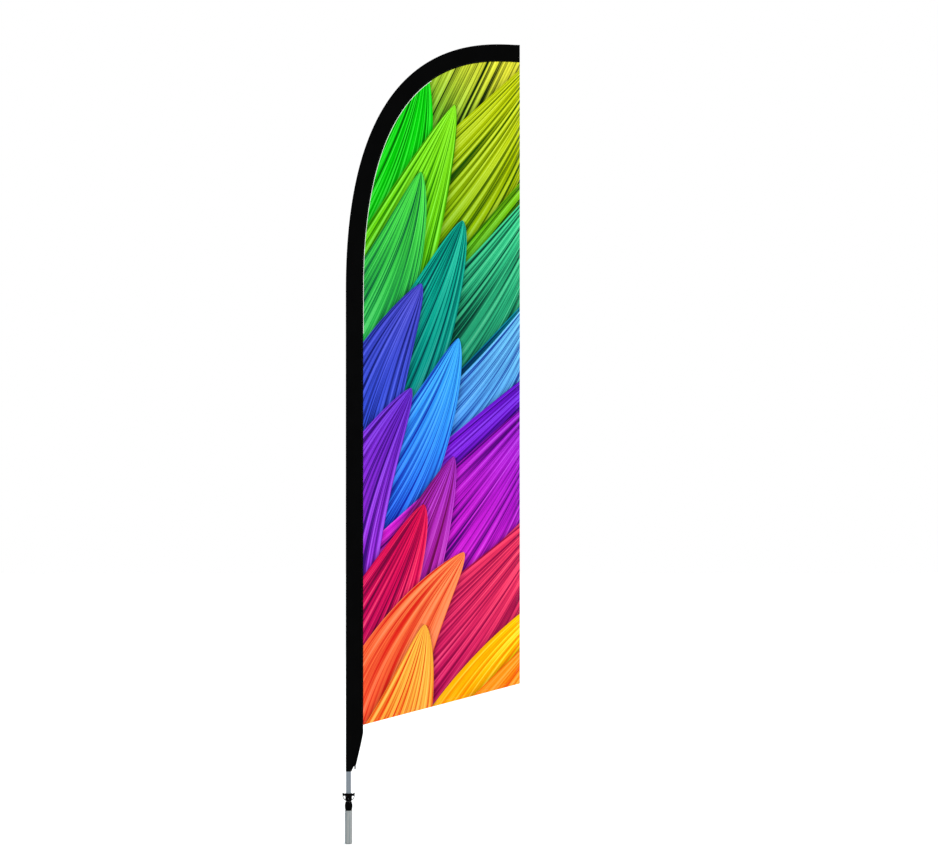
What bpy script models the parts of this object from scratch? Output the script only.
"""Feather flag on a bent sectional pole, standing on a ball-bearing ground fitting.

Metres, +Z up. The origin is on the pole's axis, in the flat face of the ground tube's foot.
The flag extends along +X and its thickness is along Y.
"""
import math

import bmesh
import bpy
from mathutils import Matrix, Vector

# ---------------------------------------------------------------- driving dimensions
GAP = 0.0003                       # clearance between touching pieces
MERGE = 0.000001                   # distance that counts as the same point

# Ground tube
TUBE_R = 0.0145
TUBE_WALL = 0.0015
TUBE_TOP = 0.134
FOOT_ROUNDING = 0.004
BEAD_Z = 0.126                     # rolled groove that locks the housing in the tube
BEAD_DEPTH = 0.0009
BEAD_HALF = 0.002

# Bearing housing (barrel)
HOUSING_BOTTOM = 0.096
HOUSING_TOP = 0.170
BARREL_R = 0.0154
BARREL_WIDEST_Z = 0.153
BARREL_TOP_R = 0.0118
HOUSING_BORE_R = 0.0075

# Ball bearings, 10 x 19 x 5 mm
RACE_BORE_R = 0.005
RACE_INNER_R = 0.0063
RACE_OUTER_R = 0.0082
RACE_R = 0.0095
BEARING_WIDTH = 0.005
PITCH_R = 0.00725
BALL_R = 0.00119
BALL_COUNT = 10
UPPER_BEARING_Z = 0.1573           # lower face of the upper bearing
LOWER_BEARING_Z = 0.1017           # lower face of the lower bearing

# Spindle
SHAFT_R = 0.0047
SPINDLE_BOTTOM = 0.097
SHOULDER_R = 0.0062
FLANGE_R = 0.0092
SPIGOT_R = 0.0079
SPINDLE_TOP = 0.335
RING_Z = 0.1004                    # lower face of the retaining ring
RING_THICKNESS = 0.001
PIN_Z = 0.1815
PIN_R = 0.0015

# Eared collar
COLLAR_BOTTOM = 0.1707
COLLAR_TOP = 0.203
COLLAR_SOCKET_FLOOR = 0.193
COLLAR_WAIST_R = 0.0106
COLLAR_TOP_R = 0.0130
EAR_HALF_THICKNESS = 0.003

# Pole sections
POLE_R = 0.010
POLE_WALL = 0.0018
BASE_TUBE_TOP = 1.080
MIDDLE_R = 0.009
MIDDLE_TOP = 1.960
JOINT_INSERT = 0.090               # how far one section plugs into the next
FERRULE_R = 0.0070
ROD_FOOT_R = 0.0062
ROD_HEAD_R = 0.0048
ROD_BORE_R = 0.0036
TIP_ROD_FOOT_R = 0.0033
TIP_ROD_HEAD_R = 0.0022

# Flag
SLEEVE_WIDTH = 0.070
SLEEVE_WALL = 0.001
SLEEVE_EDGE_X = -(POLE_R + GAP + SLEEVE_WALL)
MOUTH_Z = 0.291
BINDING_HEIGHT = 0.008
FLAG_TOP = 3.211
FLAG_WIDTH = 0.6995                # sleeve edge to fly edge
CURVE_START = 2.229
CURVE_RISE = 1.088                 # lower handle of the top curve, upward
CURVE_RUN = 0.112                  # upper handle of the top curve, back along the top
CURVE_STEPS = 20
TIP_SLEEVE_R = 0.0055              # round part of the sleeve at its closed end
PANEL_THICKNESS = 0.001
PANEL_FOOT_Z = 0.4776              # lower corner at the sleeve
PANEL_FLY_Z = 0.6444               # lower corner at the fly edge
PANEL_COLUMNS = 8
PANEL_ROWS = 32
FREE_REACH = 0.42                  # distance from the seam at which the cloth moves freely
SEAM_HALF = 0.0012                 # half the thickness of the sleeve at its sewn seam

FINISHES = {
    "steel": ((0.56, 0.58, 0.58), 0.38, 1.0),
    "bright_steel": ((0.62, 0.63, 0.65), 0.22, 1.0),
    "aluminium": ((0.55, 0.58, 0.62), 0.34, 1.0),
    "black_plastic": ((0.012, 0.012, 0.013), 0.42, 0.0),
    "rubber": ((0.02, 0.02, 0.02), 0.75, 0.0),
    "fibreglass": ((0.05, 0.05, 0.055), 0.35, 0.0),
    "black_fabric": ((0.010, 0.010, 0.011), 0.85, 0.0),
    "printed_fabric": ((0.42, 0.22, 0.55), 0.80, 0.0),
}


# ---------------------------------------------------------------- making objects
def clear_scene():
    for obj in list(bpy.data.objects):
        bpy.data.objects.remove(obj, do_unlink=True)


def own_material(name, finish):
    colour, roughness, metallic = FINISHES[finish]
    material = bpy.data.materials.new(name + "_" + finish)
    material.use_nodes = True
    shader = material.node_tree.nodes["Principled BSDF"]
    shader.inputs["Base Color"].default_value = (*colour, 1.0)
    shader.inputs["Roughness"].default_value = roughness
    shader.inputs["Metallic"].default_value = metallic
    material.diffuse_color = (*colour, 1.0)
    return material


def new_object(bm, name, parent, smooth_angle=35):
    """Turns a bmesh into a smooth-shaded object under its joint's empty."""
    bmesh.ops.remove_doubles(bm, verts=bm.verts, dist=MERGE)
    bmesh.ops.recalc_face_normals(bm, faces=bm.faces)
    mesh = bpy.data.meshes.new(name)
    bm.to_mesh(mesh)
    bm.free()
    mesh.shade_smooth()
    mesh.set_sharp_from_angle(angle=math.radians(smooth_angle))
    obj = bpy.data.objects.new(name, mesh)
    bpy.context.scene.collection.objects.link(obj)
    obj.parent = parent
    return obj


def piece(bm, name, parent, finish, smooth_angle=35):
    obj = new_object(bm, name, parent, smooth_angle)
    obj.data.materials.append(own_material(name, finish))
    return obj


def cutter(bm, name):
    obj = new_object(bm, name, None)
    obj.hide_render = True
    obj.display_type = "WIRE"
    return obj


def boolean(obj, operation, other):
    modifier = obj.modifiers.new(other.name, "BOOLEAN")
    modifier.operation = operation
    modifier.solver = "EXACT"
    modifier.object = other


def joint_empty(name, location):
    empty = bpy.data.objects.new(name, None)
    empty.location = location
    bpy.context.scene.collection.objects.link(empty)
    return empty


# ---------------------------------------------------------------- mesh helpers
def turned(profile, segments, closed=True):
    """Spins a profile of (radius, height) points about Z; an open one ends on the axis."""
    bm = bmesh.new()
    points = [bm.verts.new((r, 0.0, z)) for r, z in profile]
    for a, b in zip(points, points[1:]):
        bm.edges.new((a, b))
    if closed:
        bm.edges.new((points[-1], points[0]))
    bmesh.ops.spin(bm, geom=bm.verts[:] + bm.edges[:], cent=(0, 0, 0), axis=(0, 0, 1),
                   dvec=(0, 0, 0), angle=2 * math.pi, steps=segments, use_merge=True)
    bmesh.ops.remove_doubles(bm, verts=bm.verts, dist=MERGE)
    bmesh.ops.recalc_face_normals(bm, faces=bm.faces)
    return bm


def extruded(outline, half_thickness):
    """Extrudes an outline of (x, z) points along Y, both ways from the XZ plane."""
    bm = bmesh.new()
    front = [bm.verts.new((x, -half_thickness, z)) for x, z in outline]
    face = bm.faces.new(front)
    side = bmesh.ops.extrude_face_region(bm, geom=[face])
    moved = [v for v in side["geom"] if isinstance(v, bmesh.types.BMVert)]
    bmesh.ops.translate(bm, verts=moved, vec=(0, 2 * half_thickness, 0))
    bmesh.ops.recalc_face_normals(bm, faces=bm.faces)
    return bm


def skinned(rings, loop=False):
    """Joins rings of points with faces: a closed loop of rings, or capped at both ends."""
    bm = bmesh.new()
    rows = [[bm.verts.new(p) for p in ring] for ring in rings]
    pairs = list(zip(rows, rows[1:]))
    if loop:
        pairs.append((rows[-1], rows[0]))
    for low, high in pairs:
        for i in range(len(low)):
            j = (i + 1) % len(low)
            bm.faces.new((low[i], low[j], high[j], high[i]))
    if not loop:
        bm.faces.new(rows[0])
        bm.faces.new(rows[-1])
    return bm


def rod_along(radius, length):
    """A cylinder along Y, centred on the origin."""
    bm = bmesh.new()
    turn = Matrix.Rotation(math.pi / 2, 4, "X")
    bmesh.ops.create_cone(bm, cap_ends=True, segments=16, radius1=radius,
                          radius2=radius, depth=length, matrix=turn)
    return bm


# ---------------------------------------------------------------- the sleeve's edge
def bezier(t):
    """The outer edge of the sleeve over the top curve, t from 0 to 1."""
    tip_x = SLEEVE_EDGE_X + FLAG_WIDTH
    p0 = Vector((SLEEVE_EDGE_X, 0, CURVE_START))
    p1 = Vector((SLEEVE_EDGE_X, 0, CURVE_START + CURVE_RISE))
    p2 = Vector((tip_x - CURVE_RUN, 0, FLAG_TOP))
    p3 = Vector((tip_x, 0, FLAG_TOP))
    s = 1 - t
    point = p0 * s**3 + p1 * 3 * s * s * t + p2 * 3 * s * t * t + p3 * t**3
    tangent = (p1 - p0) * s * s + (p2 - p1) * 2 * s * t + (p3 - p2) * t * t
    return point, tangent.normalized()


def curve_parameters():
    """Curve parameters of equally long steps along the edge."""
    samples = 600
    points = [bezier(i / samples)[0] for i in range(samples + 1)]
    lengths = [0.0]
    for a, b in zip(points, points[1:]):
        lengths.append(lengths[-1] + (b - a).length)
    parameters = []
    for k in range(CURVE_STEPS + 1):
        wanted = lengths[-1] * k / CURVE_STEPS
        i = max(i for i in range(samples + 1) if lengths[i] <= wanted + MERGE)
        parameters.append(i / samples)
    return parameters, lengths[-1]


CURVE_T, CURVE_LENGTH = curve_parameters()
CURVE_STEP = CURVE_LENGTH / CURVE_STEPS


def edge_at(s):
    """Point and inward normal of the sleeve's edge; s is the height below the curve and
    the length along it from there on, where only whole curve steps are used."""
    if s <= CURVE_START + MERGE:
        return Vector((SLEEVE_EDGE_X, 0, s)), Vector((1, 0, 0))
    point, tangent = bezier(CURVE_T[round((s - CURVE_START) / CURVE_STEP)])
    return point, Vector((tangent.z, 0, -tangent.x))


def curve_s(step):
    return CURVE_START + step * CURVE_STEP


def stations(start, end):
    """The start, the end and every curve step between them."""
    inner = [curve_s(k) for k in range(CURVE_STEPS + 1)]
    return [start] + [s for s in inner if start + MERGE < s < end - MERGE] + [end]


def sleeve_radius(s):
    """Radius of the sleeve's round part, and the pole axis's distance from the edge."""
    full = -SLEEVE_EDGE_X
    share = (s - MIDDLE_TOP) / (curve_s(CURVE_STEPS) - MIDDLE_TOP)
    return full + (TIP_SLEEVE_R - full) * max(0.0, share)


def pole_axis_at(s):
    point, inward = edge_at(s)
    return point + inward * sleeve_radius(s)


def circle_at(s, radius, sides):
    """A ring of points round the pole's axis, square to the sleeve's edge."""
    inward = edge_at(s)[1]
    centre = pole_axis_at(s)
    ring = []
    for i in range(sides):
        angle = 2 * math.pi * i / sides
        ring.append(centre + inward * radius * math.cos(angle)
                    + Vector((0, radius * math.sin(angle), 0)))
    return ring


def tapered(s, start, end, foot_radius, head_radius):
    return foot_radius + (head_radius - foot_radius) * (s - start) / (end - start)


# ---------------------------------------------------------------- ground fitting
def bead(radius, depth):
    """Profile points of the rolled locking groove, from top to bottom."""
    points = []
    for k in range(4):
        share = k / 3
        z = BEAD_Z + BEAD_HALF - 2 * BEAD_HALF * share
        points.append((radius - depth * math.sin(math.pi * share), z))
    return points


def make_ground_tube(parent):
    inner_r = TUBE_R - TUBE_WALL
    mouth_r = TUBE_R - FOOT_ROUNDING
    profile = [(TUBE_R - 0.0005, TUBE_TOP), (TUBE_R, TUBE_TOP - 0.0005)]
    profile += bead(TUBE_R, BEAD_DEPTH)
    steps = 4
    for k in range(steps + 1):
        angle = math.pi / 2 * k / steps
        profile.append((mouth_r + FOOT_ROUNDING * math.cos(angle),
                        FOOT_ROUNDING - FOOT_ROUNDING * math.sin(angle)))
    curl = FOOT_ROUNDING - TUBE_WALL
    for k in range(steps, -1, -1):
        angle = math.pi / 2 * k / steps
        profile.append((mouth_r + curl * math.cos(angle),
                        FOOT_ROUNDING - curl * math.sin(angle)))
    profile += reversed(bead(inner_r, BEAD_DEPTH))
    profile += [(inner_r, TUBE_TOP)]
    piece(turned(profile, 28), "ground_tube", parent, "steel")


def make_foot_plug(parent):
    stem_r = TUBE_R - FOOT_ROUNDING - GAP
    flange_r = TUBE_R - TUBE_WALL - GAP
    step_z = FOOT_ROUNDING + GAP
    top_z = 0.014
    profile = [(0, top_z), (flange_r - 0.001, top_z), (flange_r, top_z - 0.001),
               (flange_r, step_z), (stem_r, step_z), (stem_r, 0), (0, 0)]
    piece(turned(profile, 32, closed=False), "foot_plug", parent, "black_plastic")


def barrel_radius(z):
    if z > BARREL_WIDEST_Z:
        drop = (BARREL_R - BARREL_TOP_R) * ((z - BARREL_WIDEST_Z) / (HOUSING_TOP - BARREL_WIDEST_Z))**2
    else:
        seat_r = TUBE_R - TUBE_WALL - GAP
        drop = (BARREL_R - seat_r) * ((BARREL_WIDEST_Z - z) / (BARREL_WIDEST_Z - TUBE_TOP))**2
    return BARREL_R - drop


def make_bearing_housing(parent):
    spigot_r = TUBE_R - TUBE_WALL - GAP
    pocket_r = RACE_R + GAP
    upper_shelf = UPPER_BEARING_Z - GAP
    lower_shelf = LOWER_BEARING_Z + BEARING_WIDTH + GAP
    steps = 7
    profile = []
    for k in range(steps + 1):
        z = HOUSING_TOP + (TUBE_TOP - HOUSING_TOP) * k / steps
        profile.append((barrel_radius(z), z))
    profile += bead(spigot_r, BEAD_DEPTH)
    profile += [(spigot_r, HOUSING_BOTTOM), (pocket_r, HOUSING_BOTTOM), (pocket_r, lower_shelf),
                (HOUSING_BORE_R, lower_shelf), (HOUSING_BORE_R, upper_shelf),
                (pocket_r, upper_shelf), (pocket_r, HOUSING_TOP)]
    piece(turned(profile, 28), "bearing_housing", parent, "black_plastic")


def make_dust_seal(parent):
    low = UPPER_BEARING_Z + BEARING_WIDTH + GAP
    high = low + 0.0027
    inner = SHOULDER_R + GAP
    profile = [(RACE_R, low), (inner, low), (inner, high), (RACE_R, high)]
    piece(turned(profile, 28), "dust_seal", parent, "rubber")


# ---------------------------------------------------------------- ball bearings
def groove(centre_z, face_r):
    """Arc of the ball track where it opens in a race's face, from bottom to top."""
    track_r = BALL_R + GAP
    reach = math.acos(abs(face_r - PITCH_R) / track_r)
    side = 1 if face_r > PITCH_R else -1
    steps = 2
    points = []
    for k in range(steps + 1):
        angle = -reach + 2 * reach * k / steps
        points.append((PITCH_R + side * track_r * math.cos(angle),
                       centre_z + track_r * math.sin(angle)))
    return points


def make_races(prefix, low, outer_parent, inner_parent):
    high = low + BEARING_WIDTH
    centre = (low + high) / 2
    outer = [(RACE_R, high), (RACE_R, low), (RACE_OUTER_R, low)]
    outer += groove(centre, RACE_OUTER_R) + [(RACE_OUTER_R, high)]
    inner = [(RACE_BORE_R, high), (RACE_BORE_R, low), (RACE_INNER_R, low)]
    inner += groove(centre, RACE_INNER_R) + [(RACE_INNER_R, high)]
    piece(turned(outer, 24), prefix + "_outer_race", outer_parent, "bright_steel")
    piece(turned(inner, 24), prefix + "_inner_race", inner_parent, "bright_steel")


def make_ball_cage(prefix, low, parent):
    """A cage ring, fused with the balls that it carries."""
    centre = low + BEARING_WIDTH / 2
    ring_half = 0.0005
    half = 0.0009
    profile = [(PITCH_R + ring_half, half), (PITCH_R + ring_half, -half),
               (PITCH_R - ring_half, -half), (PITCH_R - ring_half, half)]
    ring = turned(profile, BALL_COUNT * 3)
    bmesh.ops.translate(ring, verts=ring.verts, vec=(0, 0, centre - parent.location.z))
    cage = piece(ring, prefix + "_ball_cage", parent, "bright_steel")
    balls = bmesh.new()
    for k in range(BALL_COUNT):
        angle = 2 * math.pi * k / BALL_COUNT
        spot = Vector((PITCH_R * math.cos(angle), PITCH_R * math.sin(angle), centre))
        bmesh.ops.create_uvsphere(balls, u_segments=6, v_segments=5, radius=BALL_R,
                                  matrix=Matrix.Translation(spot))
    boolean(cage, "UNION", cutter(balls, prefix + "_balls_guide"))


def make_bearing_spacer(parent):
    low = LOWER_BEARING_Z + BEARING_WIDTH + GAP
    high = UPPER_BEARING_Z - GAP
    profile = [(SHOULDER_R, high), (SHOULDER_R, low), (RACE_BORE_R, low), (RACE_BORE_R, high)]
    piece(turned(profile, 24), "bearing_spacer", parent, "aluminium")


def make_retaining_ring(parent):
    """A C-ring in the spindle's groove, open at the back."""
    gap_angle = math.radians(24)
    steps = 20
    inner = SHAFT_R - 0.0004
    rings = []
    for k in range(steps + 1):
        angle = math.pi / 2 + gap_angle / 2 + (2 * math.pi - gap_angle) * k / steps
        ring = []
        for r, z in ((inner, 0), (SHOULDER_R, 0), (SHOULDER_R, RING_THICKNESS), (inner, RING_THICKNESS)):
            ring.append((r * math.cos(angle), r * math.sin(angle), RING_Z + z))
        rings.append(ring)
    piece(skinned(rings), "retaining_ring", parent, "bright_steel")


# ---------------------------------------------------------------- spindle and collar
def make_spindle(parent, pin_cutter):
    shoulder_z = UPPER_BEARING_Z + BEARING_WIDTH + GAP
    flange_low = shoulder_z + 0.003
    flange_high = COLLAR_BOTTOM - GAP
    neck_r = SHAFT_R - 0.0007
    groove_low = RING_Z - GAP
    groove_high = RING_Z + RING_THICKNESS + GAP
    profile = [(0, SPINDLE_TOP), (SPIGOT_R - 0.0035, SPINDLE_TOP), (SPIGOT_R - 0.001, SPINDLE_TOP - 0.003),
               (SPIGOT_R, SPINDLE_TOP - 0.012), (SPIGOT_R, flange_high), (FLANGE_R, flange_high),
               (FLANGE_R, flange_low), (SHOULDER_R, flange_low), (SHOULDER_R, shoulder_z),
               (SHAFT_R, shoulder_z), (SHAFT_R, groove_high), (neck_r, groove_high),
               (neck_r, groove_low), (SHAFT_R, groove_low), (SHAFT_R, SPINDLE_BOTTOM + 0.0007),
               (neck_r, SPINDLE_BOTTOM), (0, SPINDLE_BOTTOM)]
    spindle = piece(turned(profile, 24, closed=False), "spindle", parent, "bright_steel")
    boolean(spindle, "DIFFERENCE", pin_cutter)


def ear_outline(side):
    """Outline of one ear, from inside the collar's body up to the raised tip and back."""
    points = [(0.008, 0.2015), (0.0150, 0.2012), (0.0195, 0.2025), (0.0238, 0.2056),
              (0.0245, 0.2040), (0.0245, 0.1960), (0.0236, 0.1890), (0.0210, 0.1820),
              (0.0165, 0.1762), (0.0110, 0.1735), (0.008, 0.1735)]
    return [(side * x, z) for x, z in points]


def ear_hole_outline(side):
    points = [(0.0137, 0.1915), (0.0215, 0.1915), (0.0209, 0.1872), (0.0187, 0.1825),
              (0.0160, 0.1790), (0.0137, 0.1775)]
    return [(side * x, z) for x, z in points]


def make_eared_collar(parent, pin_cutter):
    body = [(0, COLLAR_TOP), (COLLAR_TOP_R - 0.0008, COLLAR_TOP), (COLLAR_TOP_R, COLLAR_TOP - 0.0008),
            (COLLAR_TOP_R - 0.0002, 0.1955), (COLLAR_WAIST_R + 0.0012, 0.1900), (COLLAR_WAIST_R, 0.1830),
            (COLLAR_WAIST_R, COLLAR_BOTTOM + 0.0010), (COLLAR_WAIST_R - 0.0008, COLLAR_BOTTOM),
            (0, COLLAR_BOTTOM)]
    collar = piece(turned(body, 32, closed=False), "eared_collar", parent, "black_plastic")
    for side, word in ((-1, "left"), (1, "right")):
        ear = cutter(extruded(ear_outline(side), EAR_HALF_THICKNESS), word + "_ear_guide")
        hole = cutter(extruded(ear_hole_outline(side), 2 * EAR_HALF_THICKNESS), word + "_ear_hole_guide")
        boolean(collar, "UNION", ear)
        boolean(collar, "DIFFERENCE", hole)
    past = 0.005
    bore_r = SPIGOT_R + GAP
    socket_r = POLE_R + GAP
    bore = [(0, COLLAR_TOP + past), (socket_r, COLLAR_TOP + past), (socket_r, COLLAR_SOCKET_FLOOR),
            (bore_r, COLLAR_SOCKET_FLOOR), (bore_r, COLLAR_BOTTOM - past), (0, COLLAR_BOTTOM - past)]
    boolean(collar, "DIFFERENCE", cutter(turned(bore, 32, closed=False), "collar_bore_guide"))
    boolean(collar, "DIFFERENCE", pin_cutter)


def make_collar_pin(parent):
    pin = rod_along(PIN_R, 2 * (COLLAR_WAIST_R - GAP))
    bmesh.ops.translate(pin, verts=pin.verts, vec=(0, 0, PIN_Z))
    piece(pin, "collar_pin", parent, "bright_steel")


# ---------------------------------------------------------------- pole
def make_base_tube(parent):
    bore_r = POLE_R - POLE_WALL
    edge = 0.0004
    low = COLLAR_SOCKET_FLOOR + GAP
    profile = [(POLE_R - edge, BASE_TUBE_TOP), (POLE_R, BASE_TUBE_TOP - edge), (POLE_R, low + edge),
               (POLE_R - edge, low), (bore_r, low), (bore_r, BASE_TUBE_TOP)]
    piece(turned(profile, 32), "pole_base_tube", parent, "aluminium")


def make_middle_tube(parent):
    insert_r = POLE_R - POLE_WALL - GAP
    insert_low = BASE_TUBE_TOP - JOINT_INSERT
    shoulder = BASE_TUBE_TOP + GAP
    narrow_bore = insert_r - 0.0015
    wide_bore = FERRULE_R + GAP
    profile = [(MIDDLE_R, MIDDLE_TOP), (MIDDLE_R, shoulder), (insert_r, shoulder),
               (insert_r, insert_low), (narrow_bore, insert_low), (narrow_bore, shoulder + 0.004),
               (wide_bore, shoulder + 0.010), (wide_bore, MIDDLE_TOP)]
    piece(turned(profile, 24), "pole_middle_tube", parent, "aluminium")


def make_middle_ferrule(parent):
    low = MIDDLE_TOP - JOINT_INSERT
    flange_low = MIDDLE_TOP + GAP
    flange_high = flange_low + 0.008
    bore_r = ROD_FOOT_R + GAP
    profile = [(MIDDLE_R - 0.001, flange_high), (MIDDLE_R, flange_high - 0.001), (MIDDLE_R, flange_low),
               (FERRULE_R, flange_low), (FERRULE_R, low), (bore_r, low), (bore_r, flange_high)]
    piece(turned(profile, 24), "middle_ferrule", parent, "bright_steel")


UPPER_ROD_LAST_STEP = 8
TIP_ROD_FIRST_STEP = 7
TIP_ROD_LAST_STEP = 19


def make_upper_rod(parent):
    start = MIDDLE_TOP - JOINT_INSERT + 0.002
    straight_end = MIDDLE_TOP + 0.020
    end = curve_s(UPPER_ROD_LAST_STEP)
    places = [start] + stations(straight_end, end)
    outer = []
    inner = []
    for s in places:
        radius = tapered(max(s, straight_end), straight_end, end, ROD_FOOT_R, ROD_HEAD_R)
        outer.append(circle_at(s, radius, 12))
        inner.append(circle_at(s, ROD_BORE_R, 12))
    rings = outer + inner[::-1]
    piece(skinned(rings, loop=True), "pole_upper_rod", parent, "fibreglass")


def make_tip_ferrule(parent):
    start = curve_s(UPPER_ROD_LAST_STEP - 1)
    end = curve_s(UPPER_ROD_LAST_STEP)
    bore_r = ROD_HEAD_R + 2 * GAP
    outer_r = bore_r + 0.0007
    rings = []
    for s, radius in ((start, outer_r), (end, outer_r), (end, bore_r), (start, bore_r)):
        rings.append(circle_at(s, radius, 12))
    piece(skinned(rings, loop=True), "tip_ferrule", parent, "bright_steel")


def make_tip_rod(parent):
    start = curve_s(TIP_ROD_FIRST_STEP)
    end = curve_s(TIP_ROD_LAST_STEP)
    rings = []
    for s in stations(start, end):
        rings.append(circle_at(s, tapered(s, start, end, TIP_ROD_FOOT_R, TIP_ROD_HEAD_R), 12))
    piece(skinned(rings), "pole_tip_rod", parent, "fibreglass")


def tip_ring(radius, past, sides=12):
    """A ring square to the last straight stretch of the tip rod, past the rod's end."""
    end = pole_axis_at(curve_s(TIP_ROD_LAST_STEP))
    along = (end - pole_axis_at(curve_s(TIP_ROD_LAST_STEP - 1))).normalized()
    across = Vector((along.z, 0, -along.x))
    ring = []
    for i in range(sides):
        angle = 2 * math.pi * i / sides
        ring.append(end + along * past + across * radius * math.cos(angle)
                    + Vector((0, radius * math.sin(angle), 0)))
    return ring


def make_tip_cap(parent):
    cap_r = 0.0037
    bore_r = TIP_ROD_HEAD_R + GAP
    depth = 0.014
    crown = 0.005
    rings = [tip_ring(0.0016, GAP), tip_ring(bore_r, GAP), tip_ring(bore_r, -depth),
             tip_ring(cap_r, -depth), tip_ring(cap_r, crown - 0.0015), tip_ring(cap_r * 0.6, crown)]
    piece(skinned(rings), "tip_cap", parent, "rubber")


def make_tip_pad(parent):
    radius = 0.0036
    start = 0.006
    rings = [tip_ring(radius, start), tip_ring(radius, start + 0.012)]
    piece(skinned(rings), "tip_pad", parent, "black_fabric")


# ---------------------------------------------------------------- flag
# Width of the sleeve at its lower end, from the seam's corner down to the gathered mouth
LOWER_WIDTHS = ((0.4454, 0.0700), (0.4010, 0.0612), (0.3370, 0.0462), (0.3165, 0.0412),
                (0.3125, 0.0337), (0.2993, 0.0262))


def sleeve_width(s):
    if s >= LOWER_WIDTHS[0][0]:
        return SLEEVE_WIDTH
    for (high, wide), (low, narrow) in zip(LOWER_WIDTHS, LOWER_WIDTHS[1:]):
        if s >= low - MERGE:
            return narrow + (wide - narrow) * (s - low) / (high - low)
    return LOWER_WIDTHS[-1][1]


def teardrop(s, radius, width, tail_half, sides=14):
    """A round part about the pole's axis that narrows to the seam, as a ring of points.

    The points keep their angles along the sleeve: those nearer the seam than the flat sides
    touch the circle lie on the flats."""
    inward = edge_at(s)[1]
    centre = pole_axis_at(s)
    reach = width - sleeve_radius(s)
    touch = math.atan2(tail_half, reach) + math.acos(min(1.0, radius / math.hypot(reach, tail_half)))
    first = 0.35
    local = []
    for k in range(sides + 1):
        angle = first + (2 * math.pi - 2 * first) * k / sides
        past = max(0.0, touch - min(angle, 2 * math.pi - angle))
        distance = radius / math.cos(past)
        local.append(Vector((distance * math.cos(angle), distance * math.sin(angle))))
    low_tail = Vector((reach, -tail_half))
    high_tail = Vector((reach, tail_half))
    local += [local[-1].lerp(low_tail, 0.5), low_tail, high_tail, local[0].lerp(high_tail, 0.5)]
    return [centre + inward * p.x + Vector((0, p.y, 0)) for p in local]


def make_pole_sleeve(parent):
    low = MOUTH_Z + BINDING_HEIGHT + GAP
    straight = sorted(z for z, _ in LOWER_WIDTHS[:-1]) + [MIDDLE_TOP]
    top = curve_s(CURVE_STEPS)
    places = [low] + straight + stations(CURVE_START, top)
    outer = []
    inner = []
    for s in places:
        width = sleeve_width(s)
        radius = sleeve_radius(s)
        seam = min(0.008, max(0.0014, 0.3 * (width - 2 * radius)))
        outer.append(teardrop(s, radius, width, SEAM_HALF))
        inner.append(teardrop(s, radius - SLEEVE_WALL, width - seam, SEAM_HALF / 4))
    end_wall = 0.003
    inner[-1] = [p - Vector((end_wall, 0, 0)) for p in inner[-1]]
    rings = outer[::-1] + inner
    piece(skinned(rings), "pole_sleeve", parent, "black_fabric", 50)


def make_mouth_binding(parent):
    """The folded and sewn mouth of the sleeve, a band round the pole."""
    low = MOUTH_Z
    high = MOUTH_Z + BINDING_HEIGHT
    rings = []
    for s, width, inset in ((low, 0.0236, SLEEVE_WALL), (low, 0.0236, 0), (high, 0.0262, 0),
                            (high, 0.0262, SLEEVE_WALL)):
        tail = SEAM_HALF if inset == 0 else SEAM_HALF / 4
        radius = sleeve_radius(s) - inset
        rings.append(teardrop(s, radius, width - 1.4 * inset, tail))
    piece(skinned(rings, loop=True), "mouth_binding", parent, "black_fabric", 50)


def make_sleeve_tab(parent):
    """A short folded strip sewn under the notch at the sleeve's lower corner."""
    bm = bmesh.new()
    size = Vector((0.0062, 0.0024, 0.012))
    centre = Vector((SLEEVE_EDGE_X + 0.0372, 0, 0.3059))
    bmesh.ops.create_cube(bm, size=1.0, matrix=Matrix.Translation(centre) @ Matrix.Diagonal((*size, 1)))
    bmesh.ops.bevel(bm, geom=bm.edges[:], offset=0.0006, segments=1, affect="EDGES")
    piece(bm, "sleeve_tab", parent, "black_fabric")


def ripple(x, z, from_seam):
    """Sideways set of the hanging cloth: nothing at the seam, soft folds where it is free."""
    free = math.sin(0.5 * math.pi * min(1.0, from_seam / FREE_REACH))**1.5
    folds = 0.0085 * math.sin(2.9 * z + 4.2 * x + 0.4) + 0.0040 * math.sin(6.7 * z - 6.0 * x + 1.9)
    return free * folds


def panel_seam():
    """Points of the panel's seam edge: up the straight part, then along the curve."""
    inset = SLEEVE_WIDTH + GAP
    straight_rows = PANEL_ROWS - CURVE_STEPS
    points = []
    for k in range(straight_rows):
        z = PANEL_FOOT_Z + (CURVE_START - PANEL_FOOT_Z) * k / straight_rows
        points.append(Vector((SLEEVE_EDGE_X + inset, 0, z)))
    for k in range(CURVE_STEPS + 1):
        point, inward = edge_at(curve_s(k))
        points.append(point + inward * inset)
    return points


def seam_distance(x, z, seam):
    """Shortest distance from a point of the panel to the seam line."""
    spot = Vector((x, 0, z))
    shortest = []
    for a, b in zip(seam, seam[1:]):
        run = b - a
        share = max(0.0, min(1.0, (spot - a).dot(run) / run.length_squared))
        shortest.append((spot - a - run * share).length)
    return min(shortest)


def panel_grid():
    """Rows of points from the seam edge to the fly edge, bottom row to top row."""
    seam = panel_seam()
    corner = seam[-1]
    rows = []
    for k, start in enumerate(seam[:-1]):
        share = k / (len(seam) - 1)
        end = Vector((corner.x, 0, PANEL_FLY_Z + (corner.z - PANEL_FLY_Z) * share))
        row = []
        for c in range(PANEL_COLUMNS + 1):
            spot = start.lerp(end, c / PANEL_COLUMNS)
            spot.y = ripple(spot.x, spot.z, seam_distance(spot.x, spot.z, seam))
            row.append(spot)
        rows.append(row)
    return rows, corner


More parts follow.
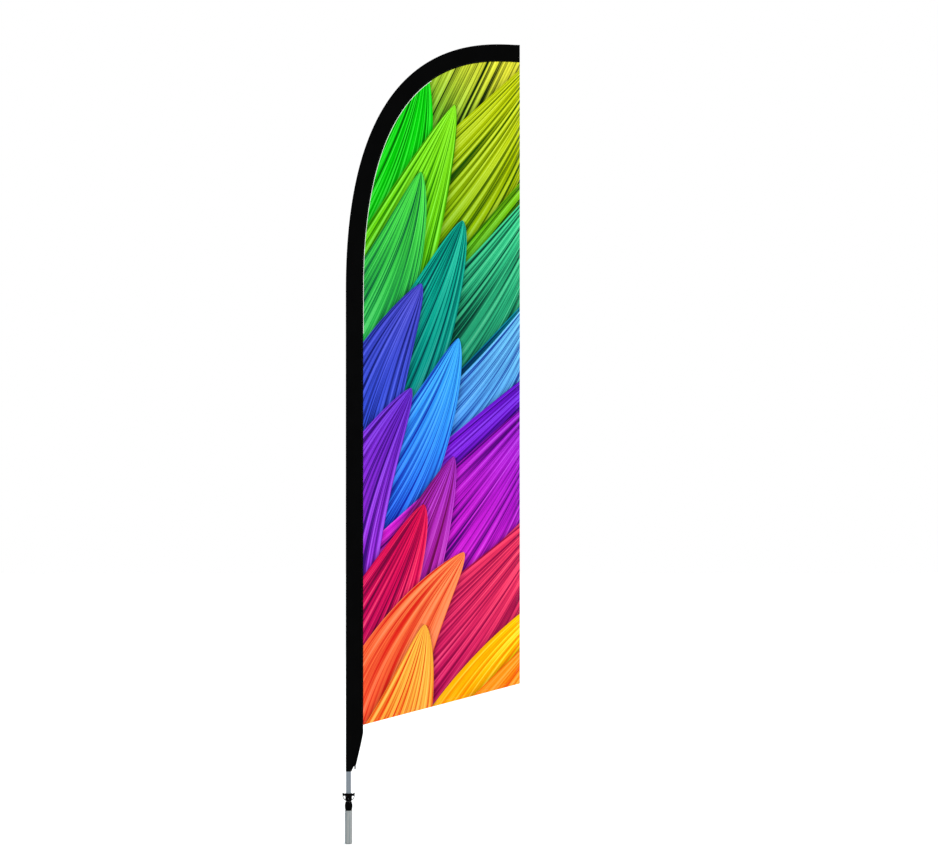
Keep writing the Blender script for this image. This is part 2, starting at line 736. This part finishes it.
def make_flag_panel(parent):
    rows, corner = panel_grid()
    bm = bmesh.new()
    outlines = []
    for side in (-1, 1):
        offset = Vector((0, side * PANEL_THICKNESS / 2, 0))
        sheet = [[bm.verts.new(spot + offset) for spot in row] for row in rows]
        tip = bm.verts.new(corner + offset)
        for low, high in zip(sheet, sheet[1:]):
            for c in range(PANEL_COLUMNS):
                bm.faces.new((low[c], low[c + 1], high[c + 1], high[c]))
        for c in range(PANEL_COLUMNS):
            bm.faces.new((sheet[-1][c], sheet[-1][c + 1], tip))
        left = [row[0] for row in sheet]
        right = [row[-1] for row in sheet]
        outlines.append(sheet[0] + right[1:] + [tip] + left[:0:-1])
    front, back = outlines
    for i in range(len(front)):
        j = (i + 1) % len(front)
        bm.faces.new((front[i], front[j], back[j], back[i]))
    piece(bm, "flag_panel", parent, "printed_fabric", 60)


# ---------------------------------------------------------------- assembly
def main():
    clear_scene()
    ground = joint_empty("ground", (0, 0, 0))
    rotor = joint_empty("flag_turn_axis", (0, 0, 0))
    upper_cage = joint_empty("upper_cage_axis", (0, 0, 0))
    lower_cage = joint_empty("lower_cage_axis", (0, 0, 0))
    pole = joint_empty("pole_lift_axis", (0, 0, 0))
    pole.parent = rotor

    make_ground_tube(ground)
    make_foot_plug(ground)
    make_bearing_housing(ground)
    make_dust_seal(ground)
    make_races("upper", UPPER_BEARING_Z, ground, rotor)
    make_races("lower", LOWER_BEARING_Z, ground, rotor)
    make_ball_cage("upper", UPPER_BEARING_Z, upper_cage)
    make_ball_cage("lower", LOWER_BEARING_Z, lower_cage)
    make_bearing_spacer(rotor)
    make_retaining_ring(rotor)

    pin_hole = rod_along(PIN_R + GAP, 4 * COLLAR_WAIST_R)
    bmesh.ops.translate(pin_hole, verts=pin_hole.verts, vec=(0, 0, PIN_Z))
    pin_cutter = cutter(pin_hole, "pin_hole_guide")
    make_spindle(rotor, pin_cutter)
    make_eared_collar(rotor, pin_cutter)
    make_collar_pin(rotor)

    make_base_tube(pole)
    make_middle_tube(pole)
    make_middle_ferrule(pole)
    make_upper_rod(pole)
    make_tip_ferrule(pole)
    make_tip_rod(pole)
    make_tip_cap(pole)
    make_tip_pad(pole)
    make_pole_sleeve(pole)
    make_mouth_binding(pole)
    make_sleeve_tab(pole)
    make_flag_panel(pole)


main()
